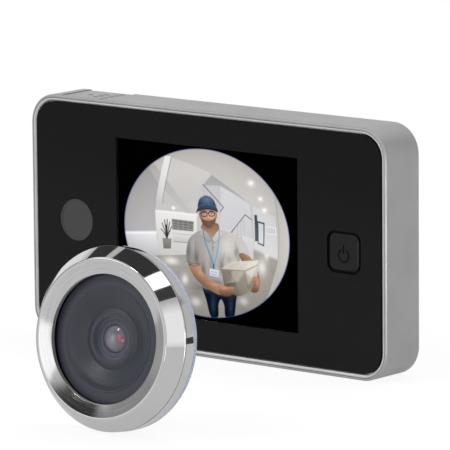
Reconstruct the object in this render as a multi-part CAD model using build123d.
from build123d import *
import math
import os

# A peephole door camera: a slim monitor for the inside of the door, and a round camera unit
# for the outside. Millimetres. X runs along the monitor, Y from its front to its back, Z up.
# The origin is the centre of the monitor's underside.

# Monitor, driving sizes
body_width = 126.4
body_height = 69.25
body_depth = 15.0
body_corner = 8.3
side_wall = 1.6
back_wall = 1.6
edge_round = 0.7
overrun = 5.0
seat_gap = 0.1
slide_gap = 0.2
run_gap = 0.3

# Front frame, face panel and display
lip_wall = 0.75
frame_gap = 0.15
frame_face_set_back = 0.05
frame_rim = 0.7
frame_bevel = 0.35
frame_rim_depth = 2.7
ledge_thickness = 1.2
skirt_depth = 0.8
skirt_wall = 1.2
panel_gap = 0.4
panel_set_back = 0.2
panel_thickness = 1.2
tape_thickness = 0.2
tape_width = 3.0
display_margin_low = 10.395
display_margin_high = 10.255
window_gap = 0.04
lcd_border = 2.4
lcd_thickness = 1.2
tray_wall = 1.4
tray_depth = 3.4
tray_bay_gap = 1.11
tray_button_gap = 5.29
flex_width = 16.0
flex_thickness = 0.3
flex_shift_x = 6.0
flex_connector_height = 1.6
flex_connector_depth = 4.0

# Badge and power button
badge_inset = 16.5
badge_z_shift = -0.4
badge_radius = 5.9
badge_thickness = 0.5
badge_proud = 0.1
badge_ring_width = 0.5
button_inset = 14.6
button_hole = 11.56
button_hole_corner = 2.6
button_gap = 0.78
button_cap_corner = 2.0
button_proud = 0.1
button_edge = 0.35
button_flange_reach = 0.72
button_flange_thickness = 0.8
button_travel = 0.6
stem_radius = 1.8
icon_radius = 1.95
icon_line = 0.42
icon_depth = 0.15
icon_z_shift = -0.85
icon_bar_top = 2.1
icon_bar_bottom = -0.4
icon_opening = 1.5

# Tact switch behind the button
switch_size = 6.0
switch_height = 2.0
plunger_radius = 1.7
plunger_head = 0.9
plunger_root = 0.7

# Boards and what is on them
board_tray_gap = 1.8
board_thickness = 1.2
board_bay_gap = 1.6
board_side_gap = 7.6
board_low_gap = 1.4
board_high_gap = 1.25
board_post_radius = 1.5
board_post_inset = 1.8
pilot_radius = 0.6
board_screw_head = 1.3
board_screw_head_height = 0.9
board_screw_length = 4.0
chip_height = 1.1
chip_list_shares = [
    (0.30, 0.72, 0.13, 0.22),
    (0.52, 0.80, 0.09, 0.11),
    (0.24, 0.30, 0.10, 0.11),
    (0.72, 0.26, 0.07, 0.12),
]
capacitor_radius = 1.3
capacitor_length = 2.2
capacitor_list_shares = [(0.62, 0.30), (0.62, 0.36), (0.84, 0.82), (0.90, 0.82)]
cable_socket_width = 12.0
cable_socket_height = 4.6
cable_socket_depth = 2.6
cable_socket_wall = 0.8

# Battery bay with two AAA cells
cell_gap = 0.25
cell_side_gap = 0.5
cell_nub_radius = 1.9
cell_nub_length = 0.8
cell_skin_edge = 0.4
bay_side_gap = 1.15
bay_wall_gap = 0.75
bay_low_inset = 9.2
bay_high_inset = 8.45
bay_rib = 1.2
bay_rib_reach = 2.7
contact_thickness = 0.4
contact_width = 8.0
contact_front_reach = 4.4
contact_back_reach = 3.8
contact_boss_radius = 1.8
contact_boss_height = 0.8
contact_spring_height = 5.5
contact_spring_wire = 0.5
contact_spring_radius = 2.6
contact_spring_tip_radius = 1.6
contact_spring_turns = 4
contact_spring_samples = 12

# Battery cover with its finger tab over the top edge
cover_side_inset = 2.8
cover_wall_lap = 0.3
cover_low_lap = 1.6
cover_high_lap = 0.6
cover_thickness = 1.2
tab_width = 16.3
tab_front_inset = 1.5
tab_thickness = 1.3
tab_drop = 0.25
tab_edge_round = 0.9
hook_width = 4.0
hook_x_shares = [0.30, 0.66]
hook_depth = 1.2
hook_reach = 1.8
hook_rise = 1.2
dimple_radius = 0.85
dimple_depth = 0.35
dimple_inset = 2.8
dimple_column_step = 3.72
dimple_row_step = 2.36
dimple_shift_y = -0.95
dimple_column_counts = [5, 3, 1]

# Case screws
case_screw_inset_x = 5.9
case_screw_inset_z = 5.7
case_post_radius = 2.6
case_screw_radius = 0.95
case_screw_length = 7.0
case_screw_head = 1.75
case_screw_head_height = 1.1
cross_width_share = 0.3
cross_span_share = 1.2
cross_depth_share = 0.55

# Wall bracket in the recess of the back
bracket_x = 12.0
bracket_shift_z = 3.375
bracket_width = 66.0
bracket_height = 40.0
bracket_sheet = 1.2
bracket_corner = 2.0
bracket_travel = 8.0
bracket_proud = 0.5
tray_inset = 4.0
tray_corner = 3.0
ear_height = 7.0
ear_reach = 3.0
ear_inset = 5.0
lip_thickness = 0.8
recess_floor = 1.1
bracket_hole_radius = 8.2
bracket_screw_spacing = 42.0
bracket_screw_hole = 2.1
bracket_window_width = 16.0
bracket_window_height = 11.0
pad_width = 5.0
pad_height = 26.0
pad_thickness = 0.4

# Camera unit, driving sizes; heights run along its axis, towards the front
unit_x = 43.9
unit_y = -99.2
unit_tilt = 7.58
unit_yaw = 2.89
bezel_radius = 24.0
bezel_side_depth = 3.8
bezel_wall = 1.4
bezel_slope_width = 3.0
land_height = 4.1
land_width = 0.8
hole_slope_width = 3.35
hole_slope_drop = 1.2
hole_lip = 1.2
bezel_edge = 0.25
gasket_thickness = 1.7
gasket_inset = 0.15
unit_gap = 0.2

# Lens hood
hood_gap = 0.35
hood_bottom = -2.6
hood_shoulder_height = 0.1
hood_crest_inset = 3.0
hood_crest_height = 1.25
funnel_radius = 7.8
funnel_height = -1.0
ring_height = -0.3
ring_inner_radius = 5.8
ring_inner_bottom = -1.2

# Lens group inside the root of the barrel
lens_ring_inner = 3.5
lens_ring_front = -1.9
lens_ring_back = -2.6
front_lens_edge = -3.0
front_lens_rise = 1.25
front_lens_thickness = 0.9
lens_barrel_back = -7.2
lens_barrel_wall = 0.6
lens_barrel_step = -4.4
lens_barrel_throat = 2.9
rear_lens_front = -4.9
rear_lens_thickness = 1.3
rear_lens_rise = 0.5
filter_front = -6.5
filter_thickness = 0.5
holder_wall = 1.1
holder_front = -4.2
sensor_board_front = -8.2
sensor_board_thickness = 0.8
sensor_board_size = 8.2
sensor_size = 5.0
sensor_thickness = 0.6

# Camera body behind the bezel
boss_inset = 7.4
boss_reach = 1.6
body_floor = 0.9
cup_wall = 1.2
unit_post_gap = 0.9
unit_screw_count = 3
unit_screw_radius = 0.8
unit_screw_head = 1.5
unit_screw_head_height = 0.8
unit_screw_length = 3.6
unit_post_radius = 2.0

# Threaded barrel and its extension
barrel_radius = 7.0
barrel_wall = 0.9
barrel_length = 16.0
barrel_flange_reach = 1.6
barrel_flange_thickness = 0.7
thread_pitch = 1.5
thread_depth = 0.45
extension_gap = 0.06
extension_wall = 1.04
extension_front = -10.6
extension_collar_step = 0.5
extension_collar_length = 3.0
extension_slot_width = 1.6
extension_slot_depth = 1.4
guide_gap = 0.06
guide_length = 4.0
guide_set_in = 2.2
guide_slot_width = 6.0
guide_slot_height = 1.4

# Planes and places worked out from the sizes above
front_y = -body_depth / 2
back_y = body_depth / 2
middle_z = body_height / 2
frame_width = body_width - 2 * (lip_wall + frame_gap)
frame_height = body_height - 2 * (lip_wall + frame_gap)
frame_corner = body_corner - lip_wall - frame_gap
frame_front = front_y + frame_face_set_back
pocket_width = frame_width - 2 * frame_rim
pocket_height = frame_height - 2 * frame_rim
pocket_corner = frame_corner - frame_rim
panel_width = pocket_width - 2 * panel_gap
panel_height = pocket_height - 2 * panel_gap
panel_corner = pocket_corner - panel_gap
panel_front = front_y + panel_set_back
panel_back = panel_front + panel_thickness
tape_back = panel_back + tape_thickness
ledge_back = tape_back + ledge_thickness
inner_width = body_width - 2 * side_wall
inner_height = body_height - 2 * side_wall
inner_corner = body_corner - side_wall
inner_back = back_y - back_wall
badge_x = badge_inset - body_width / 2
button_x = body_width / 2 - button_inset
button_z = middle_z
button_front = panel_front - button_proud
button_cap = button_hole - 2 * button_gap
button_flange = button_hole + 2 * button_flange_reach
flange_front = panel_back + seat_gap
flange_back = flange_front + button_flange_thickness
cover_front = back_y - cover_thickness
cell_radius = (cover_front - ledge_back) / 2 - cell_gap
cell_y = (cover_front + ledge_back) / 2
cell_spacing = 2 * cell_radius + cell_side_gap
cell_left_x = cell_radius + bay_side_gap - inner_width / 2
bay_wall_x = cell_left_x + cell_spacing + cell_radius + bay_wall_gap
bay_low = bay_low_inset
bay_high = body_height - bay_high_inset
cell_low = bay_low + contact_thickness + contact_spring_height
cell_high = bay_high - contact_thickness - contact_boss_height
cover_left = cover_side_inset - body_width / 2
cover_right = bay_wall_x + bay_rib + cover_wall_lap
cover_low = bay_low - cover_low_lap
cover_high = bay_high + cover_high_lap
hinge_radius = cover_thickness / 2
tab_left = cover_right - tab_width
tab_front = front_y + tab_front_inset
tab_top = body_height - tab_drop
display_left = bay_wall_x + bay_rib + tray_bay_gap + tray_wall + lcd_border
display_right = button_x - button_flange / 2 - run_gap - tray_button_gap - tray_wall - lcd_border
display_width = display_right - display_left
display_height = body_height - display_margin_low - display_margin_high
display_x = (display_left + display_right) / 2
display_z = display_margin_low + display_height / 2
lcd_width = display_width + 2 * lcd_border
lcd_height = display_height + 2 * lcd_border
lcd_front = panel_back + seat_gap
lcd_back = lcd_front + lcd_thickness
tray_back = lcd_front + tray_depth
tray_width = lcd_width + 2 * tray_wall
tray_height = lcd_height + 2 * tray_wall
board_left = bay_wall_x + bay_rib + board_bay_gap
board_right = inner_width / 2 - board_side_gap
board_low = side_wall + board_low_gap
board_high = body_height - side_wall - board_high_gap
board_front = tray_back + board_tray_gap
board_back = board_front + board_thickness
switch_front = board_front - switch_height
plunger_front = switch_front - plunger_head
bracket_z = middle_z + bracket_shift_z
bracket_back = back_y + bracket_proud
ear_back = back_y - lip_thickness - slide_gap
ear_front = ear_back - bracket_sheet
recess_front = ear_front - slide_gap
floor_front = recess_front - recess_floor
land_outer_radius = bezel_radius - bezel_slope_width
land_inner_radius = land_outer_radius - land_width
hole_radius = land_inner_radius - hole_slope_width
hole_height = land_height - hole_slope_drop
hood_radius = hole_radius - hood_gap
hood_crest_radius = hood_radius - hood_crest_inset
gasket_back = -bezel_side_depth - gasket_thickness
gasket_radius = bezel_radius - gasket_inset
boss_radius = bezel_radius - boss_inset
boss_back = -bezel_side_depth - boss_reach
floor_top = boss_back + body_floor
barrel_end = boss_back - barrel_length
barrel_bore = barrel_radius - barrel_wall
barrel_neck_radius = barrel_radius - thread_depth
barrel_flange_radius = barrel_radius + barrel_flange_reach
unit_screw_circle = barrel_flange_radius + unit_post_radius + unit_post_gap
holder_radius = barrel_bore - unit_gap
lens_barrel_radius = holder_radius - holder_wall - seat_gap
extension_radius = barrel_bore - extension_gap
extension_bore = extension_radius - extension_wall
extension_collar_radius = barrel_radius - extension_collar_step
extension_end = barrel_end - unit_gap - extension_collar_length
tilt = math.radians(unit_tilt)
unit_z = gasket_radius * math.cos(tilt) - gasket_back * math.sin(tilt)


def facing(y):
    """The plane at a depth y that looks towards the front."""
    return Plane(origin=(0, y, 0), x_dir=(1, 0, 0), z_dir=(0, -1, 0))


def slab(outline, near, far):
    """An outline in X and Z, made solid from the depth near to the depth far."""
    return extrude(facing(far) * outline, far - near)


def rounded(x, z, width, height, corner):
    """A rectangle with round corners, in X and Z."""
    return Pos(x, z) * RectangleRounded(width, height, corner)


def oblong(x, z, width, height):
    """A rectangle with sharp corners, in X and Z."""
    return Pos(x, z) * Rectangle(width, height)


def spot(x, z, radius):
    """A disc, in X and Z."""
    return Pos(x, z) * Circle(radius)


def between(left, right, low, high):
    """A rectangle given by its sides, in X and Z."""
    return oblong((left + right) / 2, (low + high) / 2, right - left, high - low)


def turned(points):
    """A closed outline of radius and height, turned about the unit's axis."""
    return revolve(Plane.XZ * make_face(Polyline(*points, close=True)), Axis.Z)


def ring(outer, inner, low, high):
    """A plain ring or tube about the unit's axis."""
    return turned([(inner, low), (outer, low), (outer, high), (inner, high)])


def disc(radius, low, high):
    """A plain disc about the unit's axis."""
    return Pos(0, 0, (low + high) / 2) * Cylinder(radius, high - low)


def cross_recess(width, length, depth):
    """The cross that a screwdriver fits, sunk from the height zero."""
    arm = Pos(0, 0, -depth / 2) * Box(length, width, depth)
    return arm + Rot(0, 0, 90) * arm


def place_unit():
    """Where the camera unit stands: its axis, and the middle of its widest circle."""
    yaw = math.radians(unit_yaw)
    axis = (math.sin(yaw) * math.cos(tilt), -math.cos(yaw) * math.cos(tilt), math.sin(tilt))
    side = (math.cos(yaw), math.sin(yaw), 0)
    return Plane(origin=(unit_x, unit_y, unit_z), x_dir=side, z_dir=axis).location


def case_screw_places():
    """The four corners where screws hold the shell to the frame."""
    reach = body_width / 2 - case_screw_inset_x
    return [(x, z) for x in (-reach, reach) for z in (case_screw_inset_z, body_height - case_screw_inset_z)]


def board_screw_places():
    """The four corners of the main board."""
    sides = (board_left + board_post_inset, board_right - board_post_inset)
    levels = (board_low + board_post_inset, board_high - board_post_inset)
    return [(x, z) for x in sides for z in levels]


def cell_x(index):
    return cell_left_x + index * cell_spacing


def rear_shell():
    """The silver housing: side walls and back in one, open at the front."""
    outline = rounded(0, middle_z, body_width, body_height, body_corner)
    shell = slab(outline, front_y, back_y)
    shell = fillet(shell.faces().sort_by(Axis.Y)[0].edges(), edge_round)
    shell = fillet(shell.faces().sort_by(Axis.Y)[-1].edges(), edge_round)
    rebate = offset(outline, -lip_wall)
    shell -= slab(rebate, front_y - overrun, frame_front + frame_rim_depth + seat_gap)
    hollow = rounded(0, middle_z, inner_width, inner_height, inner_corner)
    shell -= slab(hollow, front_y - overrun, inner_back)
    shell += bracket_housing()
    shell -= bracket_recess()
    shell -= cover_opening()
    for x, z in case_screw_places():
        shell -= slab(spot(x, z, case_screw_radius + seat_gap), inner_back - overrun, back_y + overrun)
        sink = spot(x, z, case_screw_head + seat_gap)
        shell -= slab(sink, back_y - case_screw_head_height, back_y + overrun)
    return shell


def recess_outline(margin):
    """The bracket's recess with room to slide down, grown by a margin."""
    half = bracket_width / 2 + run_gap + margin
    low = bracket_z - bracket_height / 2 - bracket_travel - run_gap - margin
    high = bracket_z + bracket_height / 2 + run_gap + margin
    return between(bracket_x - half, bracket_x + half, low, high)


def ear_levels():
    """The heights of the middles of the bracket's ears."""
    reach = bracket_height / 2 - ear_inset
    return (bracket_z - reach, bracket_z + reach)


def ear_pockets(margin):
    """The side pockets of the recess that the bracket's ears slide in."""
    pockets = Sketch()
    half = bracket_width / 2 + ear_reach + run_gap + margin
    for level in ear_levels():
        high = level + ear_height / 2 + run_gap + margin
        low = level - ear_height / 2 - bracket_travel - run_gap - margin
        pockets += between(bracket_x - half, bracket_x + half, low, high)
    return pockets


def bracket_housing():
    """The raised floor and walls inside the shell, round the bracket's recess."""
    outline = recess_outline(recess_floor) + ear_pockets(recess_floor)
    return slab(outline, floor_front, inner_back)


def bracket_recess():
    """The recess in the back for the bracket, with lips left over its ears."""
    cut = slab(recess_outline(0), recess_front, back_y + overrun)
    cut += slab(ear_pockets(0), recess_front, back_y - lip_thickness)
    half = bracket_width / 2 + ear_reach + run_gap
    for level in ear_levels():
        high = level - ear_height / 2 - run_gap
        low = high - ear_height - 2 * run_gap
        cut += slab(between(bracket_x - half, bracket_x + half, low, high), recess_front, back_y + overrun)
    window = oblong(bracket_x, bracket_z, bracket_window_width, bracket_window_height)
    cut += slab(window, floor_front - overrun, back_y)
    return cut


def cover_outline(margin):
    """The battery cover as seen from behind, grown by a margin."""
    return between(cover_left - margin, cover_right + margin, cover_low - margin, cover_high + margin)


def cover_opening():
    """The way into the battery bay, with the notch for the finger tab."""
    cut = slab(cover_outline(slide_gap), inner_back - overrun, back_y + overrun)
    notch = between(tab_left - slide_gap, cover_right + slide_gap, cover_high, body_height + overrun)
    cut += slab(notch, tab_front - slide_gap, back_y + overrun)
    return cut


def front_frame():
    """The silver inner frame: rim, ledge behind the panel, posts and battery walls."""
    outline = rounded(0, middle_z, frame_width, frame_height, frame_corner)
    frame = slab(outline, frame_front, frame_front + frame_rim_depth)
    pocket = rounded(0, middle_z, pocket_width, pocket_height, pocket_corner)
    frame -= slab(pocket, frame_front - overrun, tape_back)
    rim = frame.faces().sort_by(Axis.Y)[0].inner_wires()[0]
    frame = chamfer(rim.edges(), frame_bevel)
    skirt = offset(rounded(0, middle_z, inner_width, inner_height, inner_corner), -slide_gap)
    rim_back = frame_front + frame_rim_depth
    frame += slab(skirt, tape_back + seat_gap, rim_back + skirt_depth)
    hollow = offset(skirt, -skirt_wall)
    frame -= slab(hollow, ledge_back, back_y)
    frame -= slab(oblong(display_x, display_z, tray_width + 2 * slide_gap, tray_height + 2 * slide_gap),
                  frame_front, back_y)
    frame -= slab(oblong(button_x, button_z, button_flange + 2 * run_gap, button_flange + 2 * run_gap),
                  frame_front, back_y)
    frame += bay_walls()
    for x, z in case_screw_places():
        frame += slab(spot(x, z, case_post_radius), tape_back + seat_gap, inner_back - seat_gap)
        frame -= slab(spot(x, z, case_screw_radius), ledge_back, back_y)
    for x, z in board_screw_places():
        frame += slab(spot(x, z, board_post_radius), tape_back + seat_gap, board_front)
        frame -= slab(spot(x, z, pilot_radius), ledge_back, board_front + overrun)
    low = tab_top - tab_thickness - slide_gap
    notch = between(tab_left - slide_gap, cover_right + slide_gap, low, body_height)
    return frame - slab(notch, tab_front - slide_gap, back_y)


def bay_walls():
    """The walls of the battery bay: one beside the cells, and a rib at each end."""
    high = bay_high + bay_rib
    low = bay_low - bay_rib
    side = between(bay_wall_x, bay_wall_x + bay_rib, low, high)
    walls = slab(side, ledge_back - seat_gap, inner_back - seat_gap)
    left = cell_left_x - cell_radius
    for bottom in (low, bay_high):
        walls += slab(between(left, bay_wall_x + seat_gap, bottom, bottom + bay_rib),
                      ledge_back - seat_gap, cell_y + bay_rib_reach)
    return walls


def face_panel():
    """The black front panel, with holes for the window and the button."""
    panel = slab(rounded(0, middle_z, panel_width, panel_height, panel_corner), panel_front, panel_back)
    window = oblong(display_x, display_z, display_width, display_height)
    panel -= slab(window, panel_front - overrun, back_y)
    panel -= slab(rounded(button_x, button_z, button_hole, button_hole, button_hole_corner),
                  panel_front - overrun, back_y)
    panel -= slab(spot(badge_x, middle_z + badge_z_shift, badge_radius + window_gap),
                  panel_front - overrun, panel_front + badge_thickness - badge_proud)
    return panel


def display_window():
    """The clear window, flush in the face panel."""
    outline = oblong(display_x, display_z, display_width - 2 * window_gap, display_height - 2 * window_gap)
    return slab(outline, panel_front, panel_back)


def panel_tape():
    """The adhesive strip between the panel's edge and the frame's ledge."""
    outline = rounded(0, middle_z, panel_width, panel_height, panel_corner)
    inner = offset(outline, -tape_width)
    return slab(outline - inner, panel_back, tape_back)


def round_badge():
    """A bare round badge with a fine rim, let into the panel."""
    z = middle_z + badge_z_shift
    back = panel_front - badge_proud + badge_thickness
    badge = slab(spot(badge_x, z, badge_radius), panel_front - badge_proud, back)
    face = spot(badge_x, z, badge_radius - badge_ring_width)
    return badge - slab(face, panel_front - overrun, panel_front)


def lcd_glass():
    """The display's glass."""
    return slab(oblong(display_x, display_z, lcd_width, lcd_height), lcd_front, lcd_back)


def lcd_tray():
    """The metal tray with the backlight, folded round the glass."""
    tray = slab(oblong(display_x, display_z, tray_width, tray_height), lcd_front, tray_back)
    room = oblong(display_x, display_z, lcd_width + 2 * seat_gap, lcd_height + 2 * seat_gap)
    return tray - slab(room, lcd_front - overrun, lcd_back)


def lcd_flex():
    """The display's flat lead, from under the tray up to its connector."""
    low = display_z - tray_height / 2 - flex_thickness - slide_gap
    x = display_x + flex_shift_x
    high = display_z - tray_height / 2 + flex_connector_depth
    side = oblong(x, low + flex_thickness / 2, flex_width, flex_thickness)
    wall = slab(side, ledge_back + seat_gap, board_back + flex_thickness)
    front = between(x - flex_width / 2, x + flex_width / 2, low, high)
    return wall + slab(front, board_back, board_back + flex_thickness)


def lcd_connector():
    """The socket on the board that the flat lead enters."""
    low = display_z - tray_height / 2 + flex_connector_depth
    x = display_x + flex_shift_x
    outline = oblong(x, low + flex_connector_depth / 2, flex_width + 2 * tray_wall, flex_connector_depth)
    return slab(outline, board_back, board_back + flex_connector_height)


def main_board():
    """The main circuit board, behind the display and the button."""
    board = slab(between(board_left, board_right, board_low, board_high), board_front, board_back)
    for x, z in board_screw_places():
        board -= slab(spot(x, z, pilot_radius + slide_gap), board_front - overrun, board_back + overrun)
    low = display_z - tray_height / 2
    middle = display_x + flex_shift_x
    half = flex_width / 2 + run_gap
    gap = between(middle - half, middle + half, board_low - overrun, low)
    return board - slab(gap, board_front - overrun, board_back + overrun)


def board_point(share_x, share_z):
    """A place on the main board, as shares of its width and height."""
    return board_left + share_x * (board_right - board_left), board_low + share_z * (board_high - board_low)


def board_chips():
    """The chips on the back of the main board."""
    chips = []
    width = board_right - board_left
    height = board_high - board_low
    for share_x, share_z, width_share, height_share in chip_list_shares:
        x, z = board_point(share_x, share_z)
        outline = oblong(x, z, width_share * width, height_share * height)
        chips.append(slab(outline, board_back, board_back + chip_height))
    return Compound(children=chips)


def board_capacitors():
    """Small can capacitors on the back of the main board."""
    cans = []
    for share_x, share_z in capacitor_list_shares:
        x, z = board_point(share_x, share_z)
        cans.append(slab(spot(x, z, capacitor_radius), board_back, board_back + capacitor_length))
    return Compound(children=cans)


def camera_socket():
    """The socket that the lead of the camera unit plugs into, open at the back."""
    outline = oblong(bracket_x, bracket_z, cable_socket_width, cable_socket_height)
    socket = slab(outline, board_back, board_back + cable_socket_depth)
    room = offset(outline, -cable_socket_wall, kind=Kind.INTERSECTION)
    return socket - slab(room, board_back + cable_socket_wall, back_y)


def power_button():
    """The square button with its flange, its stem and the sunk power mark."""
    outline = rounded(button_x, button_z, button_cap, button_cap, button_cap_corner)
    cap = slab(outline, button_front, flange_front)
    cap = chamfer(cap.faces().sort_by(Axis.Y)[0].edges(), button_edge)
    flange = rounded(button_x, button_z, button_flange, button_flange, button_cap_corner)
    cap += slab(flange, flange_front, flange_back)
    cap += slab(spot(button_x, button_z, stem_radius), flange_front, plunger_front - window_gap)
    return cap - slab(power_mark(), button_front - overrun, button_front + icon_depth)


def power_mark():
    """The power mark: an open ring with a bar in its gap."""
    z = button_z + icon_z_shift
    mark = spot(button_x, z, icon_radius) - spot(button_x, z, icon_radius - icon_line)
    half = icon_opening / 2
    mark -= between(button_x - half, button_x + half, z, z + icon_radius + icon_line)
    bar_low = button_z + icon_bar_bottom
    bar_high = button_z + icon_bar_top
    return mark + between(button_x - icon_line / 2, button_x + icon_line / 2, bar_low, bar_high)


def switch_base():
    """The tact switch's body, soldered behind the button."""
    base = slab(oblong(button_x, button_z, switch_size, switch_size), switch_front, board_front)
    return base - slab(spot(button_x, button_z, plunger_radius + seat_gap), switch_front - overrun,
                       switch_front + plunger_root + button_travel + seat_gap)


def switch_plunger():
    """The part of the switch that the button's stem pushes."""
    return slab(spot(button_x, button_z, plunger_radius), plunger_front, switch_front + plunger_root)


def cell(index):
    """One AAA cell; the second stands the other way up."""
    shoulder = cell_high - cell_nub_length
    body = fillet(disc(cell_radius, cell_low, shoulder).edges(), cell_skin_edge)
    return upright(index, body + disc(cell_nub_radius, shoulder, cell_high))


def upright(index, piece):
    """Stands a piece of the battery bay in its column; odd columns are upside down."""
    middle = (bay_low + bay_high) / 2
    if index % 2:
        piece = Pos(0, 0, middle) * Rot(0, 180, 0) * Pos(0, 0, -middle) * piece
    return Pos(cell_x(index), cell_y, 0) * piece


def battery_cell_1():
    return cell(0)


def battery_cell_2():
    return cell(1)


def spring_place(turns):
    """A place on a spring's wire, and its direction there, after a number of turns."""
    angle = 2 * math.pi * turns
    rise = (contact_spring_height - contact_spring_wire) / contact_spring_turns
    draw = (contact_spring_tip_radius - contact_spring_radius) / contact_spring_turns
    radius = contact_spring_radius + draw * turns
    inward = draw / (2 * math.pi)
    way = Vector(
        inward * math.cos(angle) - radius * math.sin(angle),
        inward * math.sin(angle) + radius * math.cos(angle),
        rise / (2 * math.pi),
    )
    return Vector(radius * math.cos(angle), radius * math.sin(angle), rise * turns), way.normalized()


def two_arcs(start, start_way, end, end_way):
    """Two arcs that join two places and keep the direction at each."""
    span = end - start
    slack = 2 - 2 * start_way.dot(end_way)
    along = span.dot(start_way + end_way)
    reach = (math.sqrt(along ** 2 + slack * span.dot(span)) - along) / slack
    turn_in = start + start_way * reach
    turn_out = end - end_way * reach
    middle = (turn_in + turn_out) / 2
    first = Edge.make_tangent_arc(start, start_way, middle)
    return [first, Edge.make_tangent_arc(middle, turn_out - turn_in, end)]


def spring_gap():
    """The least gap between one turn of a spring and the next, measured on points."""
    count = contact_spring_turns * contact_spring_samples
    points = [spring_place(step / contact_spring_samples)[0] for step in range(count + 1)]
    half_turn = contact_spring_samples // 2
    gaps = [(b - a).length for i, a in enumerate(points) for b in points[i + half_turn:]]
    return min(gaps) - contact_spring_wire


def contact_springs():
    """One coiled spring at the flat end of each cell."""
    path = []
    for quarter in range(4 * contact_spring_turns):
        path += two_arcs(*spring_place(quarter / 4), *spring_place((quarter + 1) / 4))
    start, way = spring_place(0)
    section = Plane(origin=start, z_dir=way) * Circle(contact_spring_wire / 2)
    coil = sweep(section, path=Wire(path))
    print("contact spring: least gap between turns", round(spring_gap(), 2))
    base = Pos(0, 0, bay_low + contact_thickness + contact_spring_wire / 2)
    return Compound(children=[upright(index, base * coil) for index in range(2)])


def contact_plates():
    """The metal plates at the ends of the cells, two of them bossed for the cells' nubs."""
    plates = []
    y = (contact_back_reach - contact_front_reach) / 2
    sheet = Box(contact_width, contact_back_reach + contact_front_reach, contact_thickness)
    for index in range(2):
        low = Pos(0, y, bay_low + contact_thickness / 2) * sheet
        high = Pos(0, y, bay_high - contact_thickness / 2) * sheet
        boss = Pos(0, 0, bay_high - contact_thickness) * Cylinder(
            contact_boss_radius, contact_boss_height, align=(Align.CENTER, Align.CENTER, Align.MAX))
        plates.append(upright(index, low))
        plates.append(upright(index, high + boss))
    return Compound(children=plates)


def battery_cover():
    """The cover of the battery bay, with a finger tab that wraps over the top edge."""
    sheet = between(cover_left, cover_right, cover_low + hinge_radius, cover_high)
    cover = slab(sheet, cover_front, back_y)
    edge = Pos(back_y - hinge_radius, cover_low + hinge_radius) * Circle(hinge_radius)
    cover += extrude(Plane.YZ.offset(cover_left) * edge, cover_right - cover_left)
    side = between(tab_left, cover_right, cover_high - overrun, tab_top)
    cover += slab(side, cover_front, back_y)
    tab = between(tab_left, cover_right, tab_top - tab_thickness, tab_top)
    cover += slab(tab, tab_front, back_y)
    ridge = cover.edges().filter_by(Axis.X).sort_by(Axis.Z)[-2:].sort_by(Axis.Y)[-1]
    cover = fillet(ridge, tab_edge_round)
    for share in hook_x_shares:
        x = cover_left + share * (cover_right - cover_left)
        web = between(x, x + hook_width, cover_low, cover_low + hook_rise)
        cover += slab(web, inner_back - slide_gap - hook_depth, cover_front)
        hook = between(x, x + hook_width, cover_low - hook_reach, cover_low + hook_rise)
        cover += slab(hook, inner_back - slide_gap - hook_depth, inner_back - slide_gap)
    return cover - dimples()


def dimples():
    """The finger grip: round dimples set out as a triangle, point to the left."""
    cut = []
    for column, count in enumerate(dimple_column_counts):
        x = cover_right - dimple_inset - column * dimple_column_step
        for row in range(count):
            y = (tab_front + back_y) / 2 + dimple_shift_y + (row - (count - 1) / 2) * dimple_row_step
            cut.append(Pos(x, y, tab_top) * Cylinder(dimple_radius, 2 * dimple_depth))
    return Compound(children=cut)


def screw(radius, length, head_radius, head_height):
    """A pan-headed cross screw: its head ends at the height zero and its point hangs below."""
    body = Pos(0, 0, -head_height / 2) * Cylinder(head_radius, head_height)
    body += Pos(0, 0, -head_height - length / 2) * Cylinder(radius, length)
    width = cross_width_share * head_radius
    return body - cross_recess(width, cross_span_share * head_radius, cross_depth_share * head_height)


def back_facing(x, y, z):
    """A place in which a screw's head looks towards the back."""
    return Plane(origin=(x, y, z), x_dir=(1, 0, 0), z_dir=(0, 1, 0)).location


def case_screws():
    """The four screws at the corners of the back."""
    radius = case_screw_radius - window_gap
    body = screw(radius, case_screw_length, case_screw_head, case_screw_head_height - seat_gap)
    return Compound(children=[back_facing(x, back_y - seat_gap, z) * body for x, z in case_screw_places()])


def board_screws():
    """The four screws that hold the main board on its posts."""
    radius = pilot_radius - window_gap
    body = screw(radius, board_screw_length, board_screw_head, board_screw_head_height)
    top = board_back + board_screw_head_height
    return Compound(children=[back_facing(x, top, z) * body for x, z in board_screw_places()])


def mounting_bracket():
    """The steel bracket that stays on the door: a tray with four ears for the monitor's lips."""
    outline = rounded(bracket_x, bracket_z, bracket_width, bracket_height, bracket_corner)
    for level in ear_levels():
        outline += oblong(bracket_x, level, bracket_width + 2 * ear_reach, ear_height)
    bracket = slab(outline, ear_front, ear_back)
    tray_width = bracket_width - 2 * tray_inset
    tray_height = bracket_height - 2 * tray_inset
    tray = rounded(bracket_x, bracket_z, tray_width, tray_height, tray_corner)
    bracket += slab(tray, ear_front, bracket_back)
    room = offset(tray, -bracket_sheet)
    bracket -= slab(room, ear_front - overrun, bracket_back - bracket_sheet)
    hole = spot(bracket_x, bracket_z, bracket_hole_radius)
    bracket -= slab(hole, ear_front - overrun, bracket_back + overrun)
    for side in (-1, 1):
        x = bracket_x + side * bracket_screw_spacing / 2
        bracket -= slab(spot(x, bracket_z, bracket_screw_hole), ear_front - overrun, bracket_back + overrun)
    return bracket


def bracket_pads():
    """Two thin foam pads between the bracket and the door."""
    pads = []
    for side in (-1, 1):
        x = bracket_x + side * (bracket_screw_spacing / 2 - bracket_screw_hole - pad_width)
        outline = oblong(x, bracket_z, pad_width, pad_height)
        pads.append(slab(outline, bracket_back, bracket_back + pad_thickness))
    return Compound(children=pads)


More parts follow.
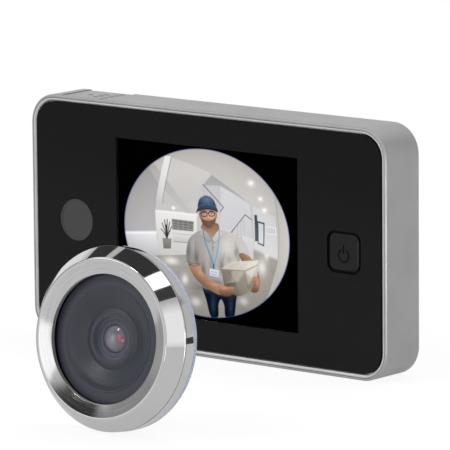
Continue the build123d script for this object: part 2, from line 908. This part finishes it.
def camera_bezel():
    """The chrome ring: a bevelled front, a wide outer slope and a short side."""
    points = [
        (hole_radius, hole_height - hole_lip),
        (hole_radius, hole_height),
        (land_inner_radius, land_height),
        (land_outer_radius, land_height),
        (bezel_radius, 0),
        (bezel_radius, -bezel_side_depth),
        (bezel_radius - bezel_wall, -bezel_side_depth),
        (bezel_radius - bezel_wall, -bezel_wall / 2),
        (land_outer_radius - bezel_wall / 2, land_height - 2 * bezel_wall),
        (land_inner_radius - bezel_wall, hole_height - hole_lip),
    ]
    profile = make_face(Polyline(*points, close=True))
    seen = [corner for corner in profile.vertices() if corner.Y >= 0 and corner.X >= land_inner_radius]
    return revolve(Plane.XZ * fillet(seen, bezel_edge), Axis.Z)


def lens_hood():
    """The dark hood round the lens: a rounded crest, a funnel and a raised ring."""
    crest = Spline(
        (hood_radius, hood_shoulder_height),
        ((hood_radius + hood_crest_radius) / 2, (hood_crest_height + hood_shoulder_height) / 2 + seat_gap),
        (hood_crest_radius, hood_crest_height),
        ((hood_crest_radius + funnel_radius) / 2, (hood_crest_height + funnel_height) / 2),
        (funnel_radius, funnel_height),
    )
    edge = Polyline(
        (funnel_radius, funnel_height),
        (ring_inner_radius, ring_height),
        (ring_inner_radius, ring_inner_bottom),
        (lens_barrel_radius + unit_gap, lens_ring_front),
        (lens_barrel_radius + unit_gap, hood_bottom),
        (hood_radius, hood_bottom),
        (hood_radius, hood_shoulder_height),
    )
    hood = revolve(Plane.XZ * make_face(crest + edge), Axis.Z)
    tip = boss_back + unit_screw_length + seat_gap
    for place in unit_screw_places():
        hood -= place * disc(unit_screw_radius, hood_bottom - overrun, tip)
    return hood


def camera_body():
    """The plastic body behind the bezel: a cup with a flat boss for the door."""
    body = turned([
        (barrel_neck_radius + seat_gap, boss_back),
        (boss_radius, boss_back),
        (boss_radius, -bezel_side_depth),
        (bezel_radius - bezel_wall - unit_gap, -bezel_side_depth),
        (bezel_radius - bezel_wall - unit_gap, -bezel_wall),
        (bezel_radius - bezel_wall - unit_gap - cup_wall, -bezel_wall),
        (bezel_radius - bezel_wall - unit_gap - cup_wall, hood_bottom),
        (boss_radius - cup_wall, hood_bottom),
        (boss_radius - cup_wall, floor_top),
        (barrel_neck_radius + seat_gap, floor_top),
    ])
    for place in unit_screw_places():
        body += place * disc(unit_post_radius, floor_top, hood_bottom)
        body -= place * disc(unit_screw_radius, boss_back, hood_bottom)
        body -= place * disc(unit_screw_head + seat_gap, boss_back, boss_back + unit_screw_head_height)
    return body


def unit_screw_places():
    """The places of the screws round the body's boss."""
    turn = 360 / unit_screw_count
    return [Rot(0, 0, index * turn) * Pos(unit_screw_circle, 0, 0) for index in range(unit_screw_count)]


def unit_screws():
    """The screws that hold the body to the hood, heads on the door side."""
    length = unit_screw_length - unit_screw_head_height
    body = screw(unit_screw_radius - window_gap, length, unit_screw_head, unit_screw_head_height - seat_gap)
    down = Pos(0, 0, boss_back + seat_gap) * Rot(180, 0, 0)
    return Compound(children=[place * down * body for place in unit_screw_places()])


def foam_gasket():
    """The pale soft ring that seals the unit against the door."""
    return ring(gasket_radius, boss_radius + unit_gap, gasket_back, -bezel_side_depth)


def lens_ring():
    """The thin retaining ring in front of the lens."""
    ring_body = ring(lens_barrel_radius, lens_ring_inner, lens_ring_back, lens_ring_front)
    return chamfer(ring_body.edges().sort_by(Axis.Z)[-1], (lens_ring_front - lens_ring_back) / 2)


def lens(radius, edge_front, rise, thickness):
    """A lens with a domed front and a flat back."""
    sphere = (radius ** 2 + rise ** 2) / (2 * rise)
    middle = edge_front + rise - sphere + math.sqrt(sphere ** 2 - (radius / 2) ** 2)
    dome = ThreePointArc((0, edge_front + rise), (radius / 2, middle), (radius, edge_front))
    back = edge_front - thickness
    rest = Polyline((radius, edge_front), (radius, back), (0, back), (0, edge_front + rise))
    return revolve(Plane.XZ * make_face(dome + rest), Axis.Z)


def front_lens():
    return lens(lens_ring_inner - seat_gap, front_lens_edge, front_lens_rise, front_lens_thickness)


def rear_lens():
    return lens(lens_barrel_throat - seat_gap, rear_lens_front, rear_lens_rise, rear_lens_thickness)


def lens_barrel():
    """The small tube that holds the lenses."""
    return turned([
        (lens_barrel_throat, lens_barrel_back),
        (lens_barrel_radius, lens_barrel_back),
        (lens_barrel_radius, lens_ring_back),
        (lens_barrel_radius - lens_barrel_wall, lens_ring_back),
        (lens_barrel_radius - lens_barrel_wall, lens_barrel_step),
        (lens_barrel_throat, lens_barrel_step),
    ])


def infrared_filter():
    """The thin red-tinted filter behind the lenses."""
    return disc(lens_barrel_throat - window_gap, filter_front - filter_thickness, filter_front)


def lens_holder():
    """The tube that stands on the sensor board and carries the lens barrel."""
    return ring(holder_radius, lens_barrel_radius + seat_gap, sensor_board_front, holder_front)


def image_sensor():
    middle = sensor_board_front + sensor_thickness / 2
    return Pos(0, 0, middle) * Box(sensor_size, sensor_size, sensor_thickness)


def sensor_board():
    middle = sensor_board_front - sensor_board_thickness / 2
    return Pos(0, 0, middle) * Box(sensor_board_size, sensor_board_size, sensor_board_thickness)


def threaded_barrel():
    """The barrel through the door: a grooved tube with a flange inside the body."""
    barrel = ring(barrel_radius, barrel_bore, barrel_end, boss_back)
    barrel += ring(barrel_neck_radius, barrel_bore, boss_back, floor_top)
    barrel += ring(barrel_flange_radius, barrel_bore, floor_top, floor_top + barrel_flange_thickness)
    turns = int((barrel_length - 2 * thread_pitch) / thread_pitch)
    for turn in range(turns):
        middle = boss_back - (turn + 1) * thread_pitch
        barrel -= turned([
            (barrel_radius + thread_depth, middle - thread_pitch / 2),
            (barrel_radius - thread_depth, middle),
            (barrel_radius + thread_depth, middle + thread_pitch / 2),
        ])
    return barrel


def barrel_extension():
    """The inner tube that screws out of the barrel to suit a thicker door."""
    tube = ring(extension_radius, extension_bore, barrel_end - unit_gap, extension_front)
    collar = ring(extension_collar_radius, extension_bore, extension_end, barrel_end - unit_gap)
    tube += collar
    slot = Pos(0, 0, extension_end) * Box(2 * extension_collar_radius + overrun, extension_slot_width,
                                         2 * extension_slot_depth)
    return tube - slot


def cable_guide():
    """The plug inside the extension that keeps the flat lead straight."""
    back = extension_end + guide_set_in
    plug = disc(extension_bore - guide_gap, back, back + guide_length)
    return plug - Box(guide_slot_width, guide_slot_height, 4 * barrel_length)


monitor_pieces = [
    rear_shell, front_frame, face_panel, display_window, panel_tape, round_badge,
    lcd_glass, lcd_tray, lcd_flex, lcd_connector, main_board, board_chips, board_capacitors,
    camera_socket, power_button, switch_base, switch_plunger, battery_cell_1, battery_cell_2,
    contact_springs, contact_plates, battery_cover, case_screws, board_screws,
    mounting_bracket, bracket_pads,
]
unit_pieces = [
    camera_bezel, lens_hood, camera_body, unit_screws, foam_gasket, lens_ring, front_lens,
    rear_lens, lens_barrel, infrared_filter, lens_holder, image_sensor, sensor_board,
    threaded_barrel, barrel_extension, cable_guide,
]

os.makedirs("parts", exist_ok=True)
for make in monitor_pieces:
    export_step(make(), f"parts/{make.__name__}.step")
stand = place_unit()
for make in unit_pieces:
    export_step(stand * make(), f"parts/{make.__name__}.step")
print("camera unit middle", unit_x, unit_y, round(unit_z, 4))
